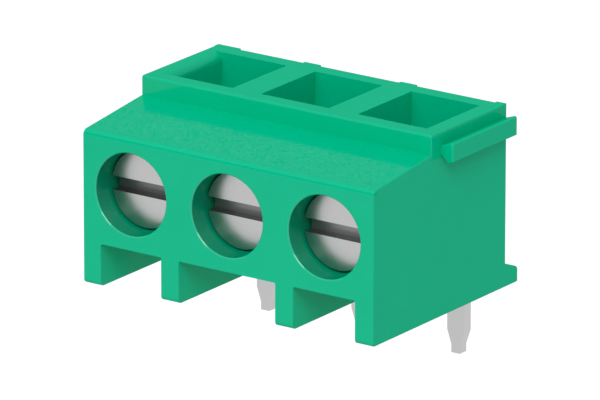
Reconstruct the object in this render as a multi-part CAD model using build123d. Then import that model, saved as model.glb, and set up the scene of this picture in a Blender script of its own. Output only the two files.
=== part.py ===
from build123d import *
import os
from math import radians, tan

# Board terminal block with horizontal clamping screws and upright wire entries.
# Millimetres. X runs along the row, Y from the screw side to the back, Z up from the board.
# The origin is the middle of the pin row, on the plane of the board.

# Row
poles = 3
pitch = 5.08

# Housing outline, depths measured back from the front face
front_height = 6.95
housing_height = 8.32
rim_rise = 0.88
rim_depth = 4.32
rim_wall = 0.74
rear_wall_thickness = 0.79
pin_setback = 0.35
front_top_radius = 0.27
front_foot_radius = 0.20
rim_radius = 0.10
rear_top_radius = 0.03
end_edge_radius = 0.06

# Legs and rear feet
board_clearance = 1.93
leg_thickness = 0.93
foot_reach = 1.12
foot_root_height = 1.06
foot_slope = 18.0
foot_top_radius = 0.22
foot_toe_radius = 0.08
notch_corner_radius = 0.06

# Ribs on the rear wall
rib_reach = 0.14
rib_width = 0.87
left_end_rib_width = 1.22
right_end_rib_width = 0.50
rib_edge_radius = 0.03

# Wire entries in the top
entry_width = 3.57
entry_depth = 4.05
entry_floor_height = 6.30
first_entry_inset = 0.09
first_entry_round = 0.45

# Screws
screw_height = 4.445
head_bore_diameter = 3.72
bore_mouth_chamfer = 0.05
head_gap = 0.08
head_recess = 1.05
head_thickness = 1.20
head_edge_radius = 0.05
slot_width = 0.64
slot_depth = 0.55
shank_diameter = 2.40
shank_tip_chamfer = 0.25
tip_gap = 0.02

# Clamping sleeves
sleeve_gap = 0.05
sleeve_height = 3.60
threaded_wall = 0.80
sleeve_side_wall = 0.45
clamping_wall = 0.85
sleeve_corner_radius = 0.55
sleeve_inner_radius = 0.25
thread_gap = 0.05
clamping_opening = 1.80

# Contacts with their solder pins
strip_thickness = 0.50
bar_width = 2.20
bar_head_gap = 0.05
bar_top_gap = 0.05
bar_top_chamfer = 0.30
slot_gap = 0.03
bend_radius = 0.25
neck_length = 1.00
pin_width = 0.90
pin_length = 3.50
pin_tip_width = 0.45
pin_tip_length = 0.37
pin_taper_length = 0.67

# Grip grooves across the bar and the clamping wall
groove_count = 5
groove_spacing = 0.62
groove_depth = 0.10

# Coupling rail on the right end and its groove in the left end
rail_setback = 0.73
rail_reach = 0.62
rail_drop = 0.40
rail_height = 0.97
rail_root_drop = 0.22
rail_root_height = 0.37
rail_lip_rise = 0.10
rail_lip_inset = 0.22
rail_top_radius = 0.09
rail_lip_radius = 0.05
rail_front_radius = 0.09
rail_end_radius = 0.14
coupling_gap = 0.03

# Worked out from the values above
row_width = poles * pitch
half_row = row_width / 2
ledge_height = housing_height - rim_rise
entry_start_depth = rim_depth + rim_wall
entry_end_depth = entry_start_depth + entry_depth
rear_wall_depth = entry_end_depth + rear_wall_thickness
pin_row_depth = rear_wall_depth + pin_setback
rib_face_depth = rear_wall_depth + rib_reach
rail_start_depth = rim_depth + rail_setback
rail_end_depth = rib_face_depth - rib_edge_radius
foot_end_depth = rear_wall_depth + foot_reach
head_diameter = head_bore_diameter - 2 * head_gap
head_back_depth = head_recess + head_thickness
chamber_start_depth = head_back_depth + sleeve_gap
sleeve_width = entry_width - 2 * sleeve_gap
sleeve_back_depth = entry_end_depth - sleeve_gap
clamping_face_depth = sleeve_back_depth - clamping_wall
bar_back_depth = clamping_face_depth - clamping_opening
bar_front_depth = bar_back_depth - strip_thickness
sleeve_front_depth = bar_front_depth - bar_head_gap - threaded_wall
chamber_floor_height = screw_height - sleeve_height / 2 - sleeve_gap
run_top_height = board_clearance - bend_radius
run_middle_height = run_top_height - strip_thickness / 2
bar_middle_depth = bar_front_depth + strip_thickness / 2
through = 30.0


def y_at(depth):
    """Y of a plane at this depth behind the front face."""
    return depth - pin_row_depth


def pole_positions():
    """X of each pole's centre, from left to right."""
    return [(pole - (poles - 1) / 2) * pitch for pole in range(poles)]


def pole_boundaries():
    """X of each plane between two poles."""
    return [x + pitch / 2 for x in pole_positions()[:-1]]


def block(x_range, y_range, z_range):
    """A box between two values on each axis."""
    size = [high - low for low, high in (x_range, y_range, z_range)]
    corner = Vector(x_range[0], y_range[0], z_range[0])
    return Pos(corner) * Box(*size, align=(Align.MIN, Align.MIN, Align.MIN))


def side_prism(points, x_range, radii=None):
    """A prism along X from an outline in Y and Z, with its corners rounded by the given radii."""
    face = make_face(Plane.YZ * Polyline(*points, close=True))
    for index, radius in (radii or {}).items():
        corner = Vector(0, *points[index])
        vertex = face.vertices().sort_by_distance(corner)[0]
        face = fillet(vertex, radius)
    return Pos(x_range[0], 0, 0) * extrude(face, x_range[1] - x_range[0], dir=(1, 0, 0))


def leg_spans():
    """Start and end in X of each leg: one at each end, and one outside each inner pole boundary."""
    spans = [(-half_row, -half_row + leg_thickness), (half_row - leg_thickness, half_row)]
    for x in pole_boundaries():
        outward = (x > 0) - (x < 0)
        middle = x + outward * leg_thickness / 2
        spans.append((middle - leg_thickness / 2, middle + leg_thickness / 2))
    return sorted(spans)


def housing_outline():
    """The moulding's side view, with its rounded corners."""
    foot_drop = foot_reach * tan(radians(foot_slope))
    points = [
        (y_at(0), 0),
        (y_at(foot_end_depth), 0),
        (y_at(foot_end_depth), foot_root_height - foot_drop),
        (y_at(rear_wall_depth), foot_root_height),
        (y_at(rear_wall_depth), housing_height),
        (y_at(rim_depth), housing_height),
        (y_at(rim_depth), ledge_height),
        (y_at(0), front_height),
    ]
    radii = {
        0: front_foot_radius,
        1: foot_toe_radius,
        2: foot_top_radius,
        4: rear_top_radius,
        5: rim_radius,
        7: front_top_radius,
    }
    return side_prism(points, (-half_row, half_row), radii)


def notches():
    """The gaps between the legs, open to the front, the back and the board."""
    spans = leg_spans()
    cuts = []
    for left, right in zip(spans[:-1], spans[1:]):
        gap = block((left[1], right[0]), (y_at(0) - 1, y_at(foot_end_depth) + 1), (-1, board_clearance))
        ceiling = gap.edges().filter_by(Axis.Y).group_by(Axis.Z)[-1]
        cuts.append(fillet(ceiling, notch_corner_radius))
    return cuts


def rear_ribs():
    """Upright ribs that stand a little proud of the rear wall, from the feet to the top."""
    spans = [(-half_row, -half_row + left_end_rib_width), (half_row - right_end_rib_width, half_row)]
    spans += [(x - rib_width / 2, x + rib_width / 2) for x in pole_boundaries()]
    ribs = []
    for span in spans:
        rib = block(span, (y_at(rear_wall_depth) - rib_reach, y_at(rib_face_depth)),
                    (foot_root_height / 2, housing_height))
        outer = rib.faces().sort_by(Axis.Y)[-1]
        ribs.append(fillet(outer.edges().filter_by(Axis.Z), rib_edge_radius))
    return ribs


def rail_outline(gap=0.0):
    """Section of the coupling rail: reach outward and height, grown by the gap."""
    top = housing_height - rail_drop
    bottom = top - rail_height
    root_top = top - rail_root_drop
    return [
        (0, root_top - rail_root_height - gap),
        (rail_reach - rail_lip_inset, bottom - gap),
        (rail_reach + gap, bottom + rail_lip_rise - gap),
        (rail_reach + gap, top + gap),
        (0, root_top + gap),
    ]


def rail_prism(x_root, outline, start_depth, end_depth):
    """The rail's section run along Y, standing out to the right of its root plane."""
    points = [(x_root + reach, height) for reach, height in outline]
    plane = Plane(origin=(0, y_at(end_depth), 0), x_dir=(1, 0, 0), z_dir=(0, -1, 0))
    face = make_face(plane * Polyline(*points, close=True))
    return extrude(face, end_depth - start_depth, dir=(0, -1, 0))


def coupling_rail():
    """The rail on the right end: its upright corners are rounded first, then the edges round them."""
    rail = rail_prism(half_row, rail_outline(), rail_start_depth, rail_end_depth)
    outer = rail.faces().sort_by(Axis.X)[-1]
    rail = fillet(outer.edges().filter_by(Axis.Z).sort_by(Axis.Y)[-1], rail_end_radius)
    outer = rail.faces().sort_by(Axis.X)[-1]
    rail = fillet(outer.edges().filter_by(Axis.Z).sort_by(Axis.Y)[0], rail_front_radius)
    outer = rail.faces().sort_by(Axis.X)[-1]
    rail = fillet(outer.edges().filter_by(Axis.Y).sort_by(Axis.Z)[-1], rail_top_radius)
    outer = rail.faces().sort_by(Axis.X)[-1]
    return fillet(outer.edges().filter_by(Axis.Y).sort_by(Axis.Z)[0], rail_lip_radius)


def coupling_groove():
    """The groove in the left end that takes a neighbour's rail, open at the back."""
    start = rail_start_depth - coupling_gap
    return rail_prism(-half_row, rail_outline(coupling_gap), start, rib_face_depth + 1)


def pole_cuts(x, entry_inset):
    """One pole's screw bore, sleeve chamber, contact slot and wire entry, whose left wall may stand in."""
    bore = Pos(x, y_at(0) - 1, screw_height) * Rot(-90, 0, 0) * Cylinder(
        head_bore_diameter / 2, chamber_start_depth + 1, align=(Align.CENTER, Align.CENTER, Align.MIN))
    across = (x - entry_width / 2, x + entry_width / 2)
    chamber = block(across, (y_at(chamber_start_depth), y_at(entry_end_depth)),
                    (chamber_floor_height, entry_floor_height))
    entry = block((across[0] + entry_inset, across[1]), (y_at(entry_start_depth), y_at(entry_end_depth)),
                  (entry_floor_height - 1, housing_height + 1))
    slot_half = bar_width / 2 + slot_gap
    slot = block((x - slot_half, x + slot_half),
                 (y_at(bar_front_depth - slot_gap), y_at(bar_back_depth + slot_gap)),
                 (board_clearance - 1, chamber_floor_height + 1))
    return [bore, chamber, entry, slot]


def housing():
    """The one-piece moulding."""
    body = housing_outline()
    ends = body.faces().filter_by(Axis.X)
    outline = ShapeList([edge for face in ends for edge in face.edges()])
    body = fillet(outline, end_edge_radius)
    body = body.fuse(*rear_ribs()).clean()
    body = body.cut(*notches())
    poles_x = pole_positions()
    for x in poles_x:
        body = body.cut(*pole_cuts(x, first_entry_inset if x == poles_x[0] else 0))
    bore_tops = [Vector(x, y_at(0), screw_height + head_bore_diameter / 2) for x in poles_x]
    mouths = [body.edges().sort_by_distance(point)[0] for point in bore_tops]
    body = chamfer(ShapeList(mouths), bore_mouth_chamfer)
    body = body.cut(coupling_groove())
    body = body.fuse(coupling_rail()).clean()
    body = body.solids()[0]
    first_left = poles_x[0] - entry_width / 2 + first_entry_inset
    middle = Vector(first_left, y_at((entry_start_depth + entry_end_depth) / 2), housing_height)
    round_edge = body.edges().filter_by(Axis.Y).sort_by_distance(middle)[0]
    return fillet(round_edge, first_entry_round)


def screw(x):
    """A slotted cheese-head clamping screw, its slot level."""
    head = Cylinder(head_diameter / 2, head_thickness, align=(Align.CENTER, Align.CENTER, Align.MAX))
    head = fillet(head.edges().sort_by(Axis.Z)[-1], head_edge_radius)
    shank_length = bar_front_depth - tip_gap - head_back_depth
    shank = Pos(0, 0, -head_thickness) * Cylinder(
        shank_diameter / 2, shank_length, align=(Align.CENTER, Align.CENTER, Align.MAX))
    shank = chamfer(shank.edges().sort_by(Axis.Z)[0], shank_tip_chamfer)
    slot = Box(head_bore_diameter, slot_width, slot_depth, align=(Align.CENTER, Align.CENTER, Align.MAX))
    body = head + shank - slot
    facing_front = Plane(origin=(x, y_at(head_recess), screw_height), x_dir=(1, 0, 0), z_dir=(0, -1, 0))
    return facing_front * body


def grip_grooves(x, width, face_depth, toward):
    """V grooves across a face, one above the other; toward is +1 where the metal lies behind the face."""
    cuts = []
    first = screw_height - (groove_count - 1) / 2 * groove_spacing
    for index in range(groove_count):
        z = first + index * groove_spacing
        points = [
            (y_at(face_depth) - toward * groove_depth, z - 2 * groove_depth),
            (y_at(face_depth) + toward * groove_depth, z),
            (y_at(face_depth) - toward * groove_depth, z + 2 * groove_depth),
        ]
        cuts.append(side_prism(points, (x - width / 2, x + width / 2)))
    return cuts


def sleeve(x):
    """A clamping sleeve: a square steel tube with a threaded front wall and a grooved clamping wall."""
    z_range = (screw_height - sleeve_height / 2, screw_height + sleeve_height / 2)
    tube = block((x - sleeve_width / 2, x + sleeve_width / 2),
                 (y_at(sleeve_front_depth), y_at(sleeve_back_depth)), z_range)
    tube = fillet(tube.edges().filter_by(Axis.Z), sleeve_corner_radius)
    inner_half = sleeve_width / 2 - sleeve_side_wall
    opening = block((x - inner_half, x + inner_half),
                    (y_at(sleeve_front_depth + threaded_wall), y_at(clamping_face_depth)),
                    (z_range[0] - 1, z_range[1] + 1))
    opening = fillet(opening.edges().filter_by(Axis.Z), sleeve_inner_radius)
    hole = Pos(x, y_at(sleeve_front_depth) - 1, screw_height) * Rot(-90, 0, 0) * Cylinder(
        shank_diameter / 2 + thread_gap, threaded_wall + 2, align=(Align.CENTER, Align.CENTER, Align.MIN))
    grooves = grip_grooves(x, 2 * (inner_half - sleeve_inner_radius), clamping_face_depth, 1)
    return tube.cut(opening, hole, *grooves)


def contact(x):
    """A bent tinned strip: the bar in the sleeve, the run under the housing and the solder pin."""
    bar_top = screw_height + sleeve_height / 2 - bar_top_gap
    centre_radius = bend_radius + strip_thickness / 2
    path = FilletPolyline(
        (y_at(bar_middle_depth), bar_top),
        (y_at(bar_middle_depth), run_middle_height),
        (0, run_middle_height),
        (0, -pin_length),
        radius=centre_radius)
    face = Plane.YZ * trace(path, strip_thickness)
    strip = extrude(face, bar_width / 2, both=True)
    neck_start = y_at(bar_back_depth) + bend_radius
    plan = [
        (-bar_width / 2, y_at(bar_front_depth) - 1),
        (-bar_width / 2, neck_start),
        (-pin_width / 2, neck_start + neck_length),
        (-pin_width / 2, strip_thickness),
    ]
    plan += [(-px, py) for px, py in reversed(plan)]
    taper_end = -pin_length + pin_tip_length
    taper_start = taper_end + pin_taper_length
    front = [
        (-bar_width / 2, bar_top - bar_top_chamfer),
        (-bar_width / 2, 0),
        (-pin_width / 2, 0),
        (-pin_width / 2, taper_start),
        (-pin_tip_width / 2, taper_end),
        (-pin_tip_width / 2, -pin_length),
    ]
    front = [(-bar_width / 2 + bar_top_chamfer, bar_top)] + front
    front += [(-px, pz) for px, pz in reversed(front)]
    plan_prism = extrude(make_face(Polyline(*plan, close=True)), through, both=True)
    front_face = make_face(Plane.XZ * Polyline(*front, close=True))
    front_prism = extrude(front_face, through, both=True)
    piece = strip & plan_prism & front_prism
    piece = Pos(x, 0, 0) * piece
    return piece.cut(*grip_grooves(x, bar_width + 1, bar_back_depth, -1))


def write(name, shape):
    """Write one sub-part to its STEP file."""
    solids = shape.solids()
    label = solids[0] if len(solids) == 1 else Compound(children=list(solids))
    label.label = name
    export_step(label, f"parts/{name}.step")


os.makedirs("parts", exist_ok=True)
write("housing", housing())
for number, x_pole in enumerate(pole_positions(), start=1):
    write(f"clamping_screw_{number}", screw(x_pole))
    write(f"clamping_sleeve_{number}", sleeve(x_pole))
    write(f"contact_{number}", contact(x_pole))
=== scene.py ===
import math

import bpy
import bmesh
from mathutils import Matrix, Vector

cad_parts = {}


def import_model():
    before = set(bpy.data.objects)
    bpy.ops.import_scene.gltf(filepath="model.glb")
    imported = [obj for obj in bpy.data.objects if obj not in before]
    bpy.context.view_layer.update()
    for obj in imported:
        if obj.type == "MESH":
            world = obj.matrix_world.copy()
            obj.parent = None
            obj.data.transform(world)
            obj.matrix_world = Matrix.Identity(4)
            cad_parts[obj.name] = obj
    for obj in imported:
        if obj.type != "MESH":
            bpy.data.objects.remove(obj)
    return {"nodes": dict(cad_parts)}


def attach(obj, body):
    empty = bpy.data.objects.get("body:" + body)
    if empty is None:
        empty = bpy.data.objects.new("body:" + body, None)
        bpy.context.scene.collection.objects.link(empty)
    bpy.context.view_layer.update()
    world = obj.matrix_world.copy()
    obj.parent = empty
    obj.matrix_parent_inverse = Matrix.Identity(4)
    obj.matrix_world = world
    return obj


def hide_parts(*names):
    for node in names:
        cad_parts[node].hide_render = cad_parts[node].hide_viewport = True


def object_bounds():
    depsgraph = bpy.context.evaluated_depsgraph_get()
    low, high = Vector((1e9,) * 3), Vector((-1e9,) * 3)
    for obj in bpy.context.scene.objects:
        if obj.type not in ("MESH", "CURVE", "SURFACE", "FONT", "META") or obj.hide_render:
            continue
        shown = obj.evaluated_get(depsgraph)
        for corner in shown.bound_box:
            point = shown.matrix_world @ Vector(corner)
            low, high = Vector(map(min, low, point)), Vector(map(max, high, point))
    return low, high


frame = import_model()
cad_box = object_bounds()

MM = 0.001
IMAGE_WIDTH = 600
SENSOR_WIDTH = 36.0

# Camera, solved from the housing's edges in the photograph
CAMERA_AZIMUTH = 35.143
CAMERA_ELEVATION = 17.816
CAMERA_ROLL = 0.064
CAMERA_DISTANCE = 396.524 * MM
CAMERA_FOCAL_PIXELS = 9222.276
CAMERA_AIM = Vector((0.0, -6.25, 6.0)) * MM
CAMERA_AIM_RIGHT = 0.832 * MM
CAMERA_AIM_UP = -1.785 * MM
CAMERA_NEAREST_SHARE = 0.1
CAMERA_FARTHEST_SHARE = 100.0

# Studio: an even surround, a pale floor and two soft lamps. Each lamp has its name, the direction
# it comes from, its level, its softness in degrees, and whether it shows in gloss.
WHITE = (1, 1, 1, 1)
FLOOR_DROP = 30.0 * MM
FLOOR_SIZE = 3.0
FLOOR_COLOUR = (0.68, 0.68, 0.68)
FLOOR_GLOW = 0.40
SURROUND_LEVEL = 0.55
LAMPS = (
    ("front_lamp", Vector((0.000, -0.690, 0.720)), 0.318, 50.0, False),
    ("gloss_lamp", Vector((0.429, -0.602, 0.670)), 0.300, 30.0, True),
)

# The part's places, as the CAD model has them
POLES = (1, 2, 3)
MIDDLE_POLE = 2
PITCH = 5.08 * MM
RIM_FRONT = -5.93 * MM
SCREW_HEIGHT = 4.445 * MM

# Bounds of the housing's zones: painted shade and more gloss in the bores, more gloss on their mouths, painted shade
# and less gloss on the front top edge, grain and gloss on the slope; each with the width over which it fades out
# inside them
BORE_RADIUS = 1.87 * MM
MOUTH_RADIUS = 1.92 * MM
BORE_FADE = 0.01 * MM
BORE_END = -7.00 * MM
BORE_END_FADE = 0.10 * MM
EDGE_BACK = -9.95 * MM
EDGE_LOWEST = 6.75 * MM
EDGE_HIGHEST = 6.88 * MM
EDGE_FADE = 0.05 * MM
SLOPE_HALF_WIDTH = 7.56 * MM
SLOPE_LOWEST = 6.95 * MM
SLOPE_HIGHEST = 7.60 * MM
SLOPE_FRONT_FADE = 0.06 * MM
SLOPE_FADE = 0.05 * MM

# Screws
SCREW_STEPS = 72
HEAD_FACE = -9.20 * MM
HEAD_RADIUS = 1.78 * MM
HEAD_THICKNESS = 1.20 * MM
HEAD_EDGE_RADIUS = 0.05 * MM
HEAD_EDGE_STEPS = 5
HEAD_BACK_CHAMFER = 0.06 * MM
SLOT_WIDTH = 0.64 * MM
SLOT_DEPTH = 0.55 * MM
SLOT_CUTTER_SHARE = 1.1
SHANK_LENGTH = 3.64 * MM
THREAD_RADIUS = 1.20 * MM
THREAD_ROOT_RADIUS = 0.95 * MM
THREAD_PITCH = 0.45 * MM
THREAD_RINGS_PER_TURN = 16
THREAD_RUNOUT = 0.35 * MM
THREAD_CREST_SHARE = 0.125
THREAD_ROOT_SHARE = 0.25
TIP_CHAMFER = 0.25 * MM
SHARP_ANGLE = 35.0

# Every grain is noise from 0 to 1 with this mean, and most of it lies in this range
NOISE_MEAN = 0.5
NOISE_RANGE = (0.3, 0.7)

# Plastic: its colour is linear, and the shares say how much of each grain its tone takes up
PLASTIC = (0.0, 0.470, 0.245)
PLASTIC_SPREAD = 0.09
PLASTIC_ROUGHNESS = 0.5
FINE_GRAIN = 0.10 * MM
FINE_GRAIN_DETAIL = 1.0
BROAD_GRAIN = 1.8 * MM
BROAD_GRAIN_DETAIL = 3.0
TONE = 0.33
BROAD_SHARE = 0.35
FINE_SHARE = 0.35
SLOPE_FINE_SHARE = 0.9
# Painted shade: how much the base colour is darkened in the bores and along the front top edge
BORE_PAINTED_SHADE = 0.44
EDGE_PAINTED_SHADE = 0.08
GRAIN_RISE = 0.003 * MM
FINE_RISE_SHARE = 0.15
SLOPE_RISE_SHARE = 0.3

# Gloss over the plastic, with what each place adds to its weight
COAT_IOR = 3.0
COAT_ROUGHNESS = 0.12
COAT_WEIGHT = 0.054
BORE_COAT = 0.015
MOUTH_COAT = 0.11
EDGE_COAT = -0.045
SLOPE_COAT = 0.020
SLOPE_SPARKLE = 0.36

# Metals, with linear colours and fine marks
METAL_DETAIL = 3.0
ROUGHNESS_SPREAD = 0.1
SLEEVE_STEEL = dict(colour=(0.46, 0.46, 0.47), roughness=0.3, size=0.05 * MM, stretch=(1.0, 1.0, 0.08))
CONTACT_TIN = dict(colour=(0.515, 0.515, 0.515), roughness=0.35, size=0.25 * MM)
# Slot steel levels: painted light and shade, one level per screw for how that slot is lit, and the walls a share of
# it as painted shade
SLOT_PAINTED_LEVELS = {1: 0.190, 2: 0.235, 3: 0.260}
SLOT_WALL_PAINTED_SHARE = 0.90
SLOT_MARKS = dict(roughness=0.3, size=0.05 * MM, stretch=(0.05, 1.0, 1.0), spread=0.12, rise=0.00005 * MM)
SLOT_FLOOR_METALLIC = 0.75
SLOT_WALL_METALLIC = 0.85

# The heads' steel: turning rings round the axis, and specks
HEAD_STEEL = (0.500, 0.500, 0.500)
HEAD_SPREAD = 0.03
HEAD_ROUGHNESS = (0.285, 0.310)
HEAD_DETAIL = 2.0
RING_WIDTH = 0.08 * MM
RING_RISE = 0.00006 * MM
SPECK_SIZE = 0.30 * MM


def camera():
    """The photograph's camera: a long lens, far back."""
    azimuth, elevation, roll = (math.radians(a) for a in (CAMERA_AZIMUTH, CAMERA_ELEVATION, CAMERA_ROLL))
    back = Vector((math.sin(azimuth) * math.cos(elevation),
                   -math.cos(azimuth) * math.cos(elevation),
                   math.sin(elevation)))
    level_right = Vector((math.cos(azimuth), math.sin(azimuth), 0))
    level_up = back.cross(level_right)
    right = math.cos(roll) * level_right + math.sin(roll) * level_up
    up = -math.sin(roll) * level_right + math.cos(roll) * level_up
    target = CAMERA_AIM + level_right * CAMERA_AIM_RIGHT + level_up * CAMERA_AIM_UP
    data = bpy.data.cameras.new("camera")
    data.sensor_width = SENSOR_WIDTH
    data.lens = CAMERA_FOCAL_PIXELS / IMAGE_WIDTH * SENSOR_WIDTH
    data.clip_start = CAMERA_DISTANCE * CAMERA_NEAREST_SHARE
    data.clip_end = CAMERA_DISTANCE * CAMERA_FARTHEST_SHARE
    eye = bpy.data.objects.new("camera", data)
    turn = Matrix((right, up, back)).transposed()
    eye.matrix_world = Matrix.Translation(target + back * CAMERA_DISTANCE) @ turn.to_4x4()
    bpy.context.scene.collection.objects.link(eye)
    bpy.context.scene.camera = eye


def put(tree, socket, value):
    """Feed a socket from another node's output, or set it to a plain value."""
    if isinstance(value, bpy.types.NodeSocket):
        tree.links.new(value, socket)
    else:
        socket.default_value = value


def node(tree, kind, **inputs):
    """A shader node with some of its inputs fed or set."""
    made = tree.nodes.new(kind)
    for name, value in inputs.items():
        put(tree, made.inputs[name], value)
    return made


def maths(tree, operation, *values):
    """The result of a math node."""
    made = tree.nodes.new("ShaderNodeMath")
    made.operation = operation
    for socket, value in zip(made.inputs, values):
        put(tree, socket, value)
    return made.outputs[0]


def product(tree, *values):
    """All of these values multiplied."""
    result = values[0]
    for value in values[1:]:
        result = maths(tree, "MULTIPLY", result, value)
    return result


def total(tree, *values):
    """All of these values added up."""
    result = values[0]
    for value in values[1:]:
        result = maths(tree, "ADD", result, value)
    return result


def vector_maths(tree, operation, *values):
    """The result of a vector math node."""
    made = tree.nodes.new("ShaderNodeVectorMath")
    made.operation = operation
    for socket, value in zip(made.inputs, values):
        put(tree, socket, value)
    return made.outputs["Value" if operation in ("DOT_PRODUCT", "LENGTH") else "Vector"]


def ramp(tree, value, low, high, low_result, high_result):
    """The value carried smoothly from one range to another, and held at its ends."""
    made = node(tree, "ShaderNodeMapRange", Value=value)
    made.interpolation_type = "SMOOTHSTEP"
    for name, number in zip(("From Min", "From Max", "To Min", "To Max"), (low, high, low_result, high_result)):
        made.inputs[name].default_value = number
    return made.outputs["Result"]


def above(tree, value, lowest, fade):
    """1 where the value is above its bound, fading to 0 just over it."""
    return ramp(tree, value, lowest, lowest + fade, 0.0, 1.0)


def below(tree, value, highest, fade):
    """1 where the value is below its bound, fading to 0 just under it."""
    return ramp(tree, value, highest - fade, highest, 1.0, 0.0)


def own_place(tree):
    """A point's place on the object itself, in metres."""
    return tree.nodes.new("ShaderNodeTexCoord").outputs["Object"]


def grain(tree, place, size, detail, stretch=(1.0, 1.0, 1.0)):
    """Soft noise from 0 to 1, with features of about this size, drawn out along an axis where stretch is small."""
    place = vector_maths(tree, "MULTIPLY", place, tuple(s / size for s in stretch))
    made = node(tree, "ShaderNodeTexNoise", Vector=place, Scale=1.0, Detail=detail)
    return made.outputs["Fac"]


def tinted(tree, factor, colour, spread):
    """The colour, a little darker where the factor is low and a little lighter where it is high."""
    mix = tree.nodes.new("ShaderNodeMix")
    mix.data_type = "RGBA"
    put(tree, mix.inputs["Factor"], factor)
    low, high = ([s for s in mix.inputs if s.name == name and s.type == "RGBA"][0] for name in ("A", "B"))
    low.default_value = (*(c * (1 - spread) for c in colour), 1)
    high.default_value = (*(c * (1 + spread) for c in colour), 1)
    return [s for s in mix.outputs if s.type == "RGBA"][0]


def bumped(tree, height, rise):
    """A surface direction that follows the height, which stands for this rise in metres."""
    return node(tree, "ShaderNodeBump", Strength=1.0, Distance=rise, Height=height).outputs["Normal"]


def background_ray(tree):
    """1 for a ray from the camera, or one seen in gloss or through glass, and 0 for one that lights the object."""
    path = tree.nodes.new("ShaderNodeLightPath")
    found = path.outputs["Is Camera Ray"]
    for name in ("Is Glossy Ray", "Is Transmission Ray"):
        found = maths(tree, "MAXIMUM", found, path.outputs[name])
    return found


def world():
    """A white surround that lights the object from all round at a plain level."""
    made = bpy.data.worlds.new("studio")
    bpy.context.scene.world = made
    made.use_nodes = True
    tree = made.node_tree
    tree.nodes.clear()
    seen = node(tree, "ShaderNodeBackground", Color=WHITE, Strength=1.0)
    lit = node(tree, "ShaderNodeBackground", Color=WHITE, Strength=SURROUND_LEVEL)
    mix = tree.nodes.new("ShaderNodeMixShader")
    out = tree.nodes.new("ShaderNodeOutputWorld")
    tree.links.new(background_ray(tree), mix.inputs[0])
    tree.links.new(lit.outputs[0], mix.inputs[1])
    tree.links.new(seen.outputs[0], mix.inputs[2])
    tree.links.new(mix.outputs[0], out.inputs["Surface"])


def floor():
    """A pale floor well below the pins, which keeps the block's shadow."""
    low = cad_box[0].z - FLOOR_DROP
    half = FLOOR_SIZE / 2
    mesh = bpy.data.meshes.new("floor")
    mesh.from_pydata([(-half, -half, low), (half, -half, low), (half, half, low), (-half, half, low)], [],
                     [(0, 1, 2, 3)])
    made = bpy.data.objects.new("floor", mesh)
    bpy.context.scene.collection.objects.link(made)
    material = bpy.data.materials.new("floor_paper")
    material.use_nodes = True
    tree = material.node_tree
    tree.nodes.clear()
    paper = node(tree, "ShaderNodeBsdfDiffuse", Color=(*FLOOR_COLOUR, 1))
    level = product(tree, background_ray(tree), FLOOR_GLOW)
    glow = node(tree, "ShaderNodeEmission", Color=WHITE, Strength=level)
    both = tree.nodes.new("ShaderNodeAddShader")
    out = tree.nodes.new("ShaderNodeOutputMaterial")
    tree.links.new(paper.outputs[0], both.inputs[0])
    tree.links.new(glow.outputs[0], both.inputs[1])
    tree.links.new(both.outputs[0], out.inputs["Surface"])
    mesh.materials.append(material)


def lamp(name, come_from, level, softness, in_gloss):
    """A broad soft light; its level is the share of a surface's own colour that it brings out."""
    data = bpy.data.lights.new(name, "SUN")
    data.energy = level * math.pi
    data.angle = math.radians(softness)
    made = bpy.data.objects.new(name, data)
    made.rotation_mode = "QUATERNION"
    made.rotation_quaternion = come_from.to_track_quat("Z", "Y")
    made.visible_glossy = in_gloss
    bpy.context.scene.collection.objects.link(made)


def new_material(name):
    """An empty node material with one principled shader, and its tree and shader."""
    material = bpy.data.materials.new(name)
    material.use_nodes = True
    tree = material.node_tree
    shader = next(n for n in tree.nodes if n.type == "BSDF_PRINCIPLED")
    return material, tree, shader


def housing_shade_and_gloss_zones(tree, axes):
    """Masks of the housing's zones: in the bores (painted shade, more gloss), on their mouths (more gloss), on the
    front top edge (painted shade, less gloss), on the slope (grain and gloss).
    """
    across = maths(tree, "WRAP", axes["X"], PITCH / 2, -PITCH / 2)
    upward = maths(tree, "SUBTRACT", axes["Z"], SCREW_HEIGHT)
    from_axis = maths(tree, "SQRT", total(tree, product(tree, across, across), product(tree, upward, upward)))
    in_front = below(tree, axes["Y"], BORE_END, BORE_END_FADE)
    in_bore = product(tree, in_front, below(tree, from_axis, BORE_RADIUS, BORE_FADE))
    in_mouth = product(tree, in_front, below(tree, from_axis, MOUTH_RADIUS, BORE_FADE))
    on_mouth = maths(tree, "SUBTRACT", in_mouth, in_bore)
    on_edge = product(tree, below(tree, axes["Y"], EDGE_BACK, EDGE_FADE),
                      above(tree, axes["Z"], EDGE_LOWEST, EDGE_FADE),
                      below(tree, axes["Z"], EDGE_HIGHEST, EDGE_FADE))
    on_slope = product(tree, below(tree, axes["Y"], RIM_FRONT, SLOPE_FADE),
                       above(tree, axes["Z"], SLOPE_LOWEST, SLOPE_FRONT_FADE),
                       below(tree, axes["Z"], SLOPE_HIGHEST, SLOPE_FADE),
                       below(tree, maths(tree, "ABSOLUTE", axes["X"]), SLOPE_HALF_WIDTH, SLOPE_FADE))
    return in_bore, on_mouth, on_edge, on_slope


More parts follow.
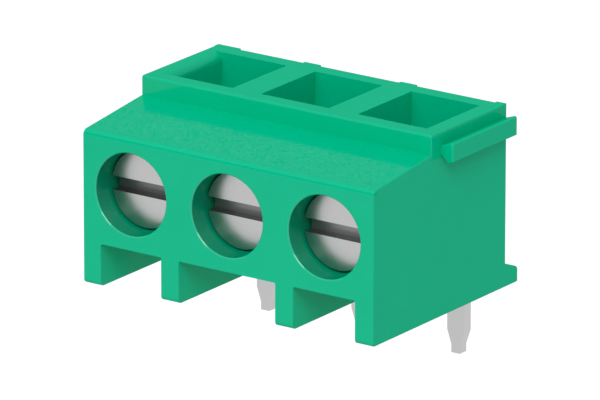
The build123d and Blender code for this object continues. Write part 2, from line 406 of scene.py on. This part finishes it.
def housing_plastic():
    """Green moulded polyamide: a deep matt body under a thin gloss, with painted shade in the bores and along the
    front top edge, and grained on the slope.
    """
    material, tree, shader = new_material("housing_plastic")
    place = own_place(tree)
    axes = node(tree, "ShaderNodeSeparateXYZ", Vector=place).outputs
    in_bore, on_mouth, on_edge, on_slope = housing_shade_and_gloss_zones(tree, axes)
    fine = grain(tree, place, FINE_GRAIN, FINE_GRAIN_DETAIL)
    broad = grain(tree, place, BROAD_GRAIN, BROAD_GRAIN_DETAIL)
    ripple = maths(tree, "SUBTRACT", fine, NOISE_MEAN)
    tone = total(tree, TONE, product(tree, broad, BROAD_SHARE),
                 product(tree, ripple, total(tree, FINE_SHARE, product(tree, on_slope, SLOPE_FINE_SHARE))))
    # Painted shade: the base colour darkened in the bores and along the front top edge
    painted_shade = total(tree, product(tree, in_bore, BORE_PAINTED_SHADE), product(tree, on_edge, EDGE_PAINTED_SHADE))
    colour = vector_maths(tree, "SCALE", tinted(tree, tone, PLASTIC, PLASTIC_SPREAD))
    put(tree, colour.node.inputs["Scale"], maths(tree, "SUBTRACT", 1.0, painted_shade))
    put(tree, shader.inputs["Base Color"], colour)
    shader.inputs["Roughness"].default_value = PLASTIC_ROUGHNESS
    shader.inputs["Specular IOR Level"].default_value = 0.0
    weight = total(tree, COAT_WEIGHT, product(tree, in_bore, BORE_COAT), product(tree, on_mouth, MOUTH_COAT),
                   product(tree, on_edge, EDGE_COAT), product(tree, on_slope, SLOPE_COAT),
                   product(tree, on_slope, ripple, SLOPE_SPARKLE))
    put(tree, shader.inputs["Coat Weight"], weight)
    shader.inputs["Coat IOR"].default_value = COAT_IOR
    shader.inputs["Coat Roughness"].default_value = COAT_ROUGHNESS
    height = product(tree, fine, total(tree, FINE_RISE_SHARE, product(tree, on_slope, SLOPE_RISE_SHARE)))
    normal = bumped(tree, height, GRAIN_RISE)
    put(tree, shader.inputs["Normal"], normal)
    put(tree, shader.inputs["Coat Normal"], normal)
    return material


def metal(name, colour, roughness, size, stretch=(1.0, 1.0, 1.0), spread=0.04, rise=0.0004 * MM, metallic=1.0):
    """A bare metal with fine marks of this size in its colour, roughness and surface."""
    material, tree, shader = new_material(name)
    marks = grain(tree, own_place(tree), size, METAL_DETAIL, stretch)
    put(tree, shader.inputs["Base Color"], tinted(tree, marks, colour, spread))
    put(tree, shader.inputs["Roughness"],
        ramp(tree, marks, *NOISE_RANGE, roughness * (1 - ROUGHNESS_SPREAD), roughness * (1 + ROUGHNESS_SPREAD)))
    put(tree, shader.inputs["Normal"], bumped(tree, marks, rise))
    shader.inputs["Metallic"].default_value = metallic
    return material


def turned_steel():
    """The screw heads' zinc-plated steel, with the faint rings that turning leaves round the axis."""
    material, tree, shader = new_material("screw_steel")
    place = own_place(tree)
    from_axis = vector_maths(tree, "LENGTH", vector_maths(tree, "MULTIPLY", place, (1.0, 0.0, 1.0)))
    noise = node(tree, "ShaderNodeTexNoise", Scale=1.0, Detail=HEAD_DETAIL)
    noise.noise_dimensions = "1D"
    put(tree, noise.inputs["W"], product(tree, from_axis, 1 / RING_WIDTH))
    rings = noise.outputs["Fac"]
    specks = grain(tree, place, SPECK_SIZE, HEAD_DETAIL)
    both = product(tree, total(tree, rings, specks), 0.5)
    put(tree, shader.inputs["Base Color"], tinted(tree, both, HEAD_STEEL, HEAD_SPREAD))
    put(tree, shader.inputs["Roughness"], ramp(tree, specks, *NOISE_RANGE, *HEAD_ROUGHNESS))
    put(tree, shader.inputs["Normal"], bumped(tree, rings, RING_RISE))
    shader.inputs["Metallic"].default_value = 1.0
    return material


def slot_steels(number):
    """Steels for a slot's floor and walls, with fine lines along them: darker partly as milled steel and partly as
    painted shade; each screw's level and the walls' share are painted light and shade for how light falls in that
    slot.
    """
    floor_level = SLOT_PAINTED_LEVELS[number]
    wall_level = floor_level * SLOT_WALL_PAINTED_SHARE
    return (metal(f"slot_steel_{number}", (floor_level,) * 3, metallic=SLOT_FLOOR_METALLIC, **SLOT_MARKS),
            metal(f"slot_wall_steel_{number}", (wall_level,) * 3, metallic=SLOT_WALL_METALLIC, **SLOT_MARKS))


def dress(names, material):
    """Give the material to each of these nodes."""
    for name in names:
        for slot in frame["nodes"][name].material_slots:
            slot.material = material


def thread_height(turns):
    """Height of the thread's section after this many turns: 0 at the root and 1 at the crest."""
    flank_share = (1 - THREAD_CREST_SHARE - THREAD_ROOT_SHARE) / 2
    along = turns % 1
    if along < THREAD_CREST_SHARE:
        return 1.0
    if along < THREAD_CREST_SHARE + flank_share:
        return 1 - (along - THREAD_CREST_SHARE) / flank_share
    if along < 1 - flank_share:
        return 0.0
    return (along - 1 + flank_share) / flank_share


def screw_rings():
    """The screw's surface from its face to its tip, as rings: a depth behind the face, and a radius for each step."""
    rings = []
    for step in range(HEAD_EDGE_STEPS + 1):
        turn = math.radians(90) * step / HEAD_EDGE_STEPS
        rings.append((HEAD_EDGE_RADIUS * (1 - math.cos(turn)),
                      [HEAD_RADIUS - HEAD_EDGE_RADIUS * (1 - math.sin(turn))] * SCREW_STEPS))
    rings.append((HEAD_THICKNESS - HEAD_BACK_CHAMFER, [HEAD_RADIUS] * SCREW_STEPS))
    rings.append((HEAD_THICKNESS, [HEAD_RADIUS - HEAD_BACK_CHAMFER] * SCREW_STEPS))
    count = round(SHANK_LENGTH / THREAD_PITCH * THREAD_RINGS_PER_TURN)
    for step in range(count + 1):
        along = SHANK_LENGTH * step / count
        cut = (THREAD_RADIUS - THREAD_ROOT_RADIUS) * min(1.0, along / THREAD_RUNOUT)
        limit = THREAD_RADIUS - max(0.0, along - SHANK_LENGTH + TIP_CHAMFER)
        radii = []
        for index in range(SCREW_STEPS):
            height = thread_height(along / THREAD_PITCH + index / SCREW_STEPS)
            radii.append(min(limit, THREAD_RADIUS - cut * (1 - height)))
        rings.append((HEAD_THICKNESS + along, radii))
    return rings


def link_mesh(name, points, faces):
    """A new mesh object with its faces turned outward."""
    mesh = bpy.data.meshes.new(name)
    mesh.from_pydata(points, [], faces)
    work = bmesh.new()
    work.from_mesh(mesh)
    bmesh.ops.recalc_face_normals(work, faces=work.faces)
    work.to_mesh(mesh)
    work.free()
    made = bpy.data.objects.new(name, mesh)
    bpy.context.scene.collection.objects.link(made)
    return made


def slot_cutter():
    """A bar that cuts the level slot across a head's face, and reaches a little past the head's edge."""
    x, y, z = HEAD_RADIUS * SLOT_CUTTER_SHARE, SLOT_DEPTH, SLOT_WIDTH / 2
    points = [(sx * x, sy * y, sz * z) for sx in (-1, 1) for sy in (-1, 1) for sz in (-1, 1)]
    faces = [(0, 1, 3, 2), (4, 5, 7, 6), (0, 1, 5, 4), (2, 3, 7, 6), (0, 2, 6, 4), (1, 3, 7, 5)]
    return link_mesh("slot_cutter", points, faces)


def whole_screw(name):
    """The screw before its slot is cut, with its face at the origin and its shank along +Y."""
    rings = screw_rings()
    points = []
    for depth, radii in rings:
        for index, radius in enumerate(radii):
            turn = 2 * math.pi * index / SCREW_STEPS
            points.append((radius * math.cos(turn), depth, radius * math.sin(turn)))
    last = (len(rings) - 1) * SCREW_STEPS
    faces = [tuple(range(SCREW_STEPS)), tuple(range(last, last + SCREW_STEPS))]
    for start in range(0, last, SCREW_STEPS):
        for index in range(SCREW_STEPS):
            after = (index + 1) % SCREW_STEPS
            faces.append((start + index, start + after, start + SCREW_STEPS + after, start + SCREW_STEPS + index))
    return link_mesh(name, points, faces)


def cut_slot(screw, materials):
    """Cut the slot: the screw keeps the first material, and the slot's floor and walls get the other two."""
    cutter = slot_cutter()
    for piece in (screw, cutter):
        for material in materials:
            piece.data.materials.append(material)
    for face in cutter.data.polygons:
        face.material_index = 1 if abs(face.normal.y) > 0.5 else 2
    cut = screw.modifiers.new("slot", "BOOLEAN")
    cut.operation = "DIFFERENCE"
    cut.solver = "EXACT"
    cut.object = cutter
    seen = bpy.context.evaluated_depsgraph_get()
    finished = bpy.data.meshes.new_from_object(screw.evaluated_get(seen))
    screw.modifiers.clear()
    screw.data = finished
    bpy.data.objects.remove(cutter)
    finished.shade_smooth()
    finished.set_sharp_from_angle(angle=math.radians(SHARP_ANGLE))


def threaded_screw(number, materials):
    """A slotted cheese-head screw with a cut thread, in place of the plain one."""
    screw = whole_screw(f"threaded_screw_{number}")
    cut_slot(screw, materials)
    screw.location = ((number - MIDDLE_POLE) * PITCH, HEAD_FACE, SCREW_HEIGHT)
    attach(screw, f"screw_{number}")
    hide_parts(f"clamping_screw_{number}")


camera()
world()
floor()
for values in LAMPS:
    lamp(*values)
dress(["housing"], housing_plastic())
dress([f"clamping_sleeve_{n}" for n in POLES], metal("sleeve_steel", **SLEEVE_STEEL))
dress([f"contact_{n}" for n in POLES], metal("contact_tin", **CONTACT_TIN))
head_steel = turned_steel()
for n in POLES:
    threaded_screw(n, (head_steel, *slot_steels(n)))

bpy.context.scene.view_settings.view_transform = "Standard"
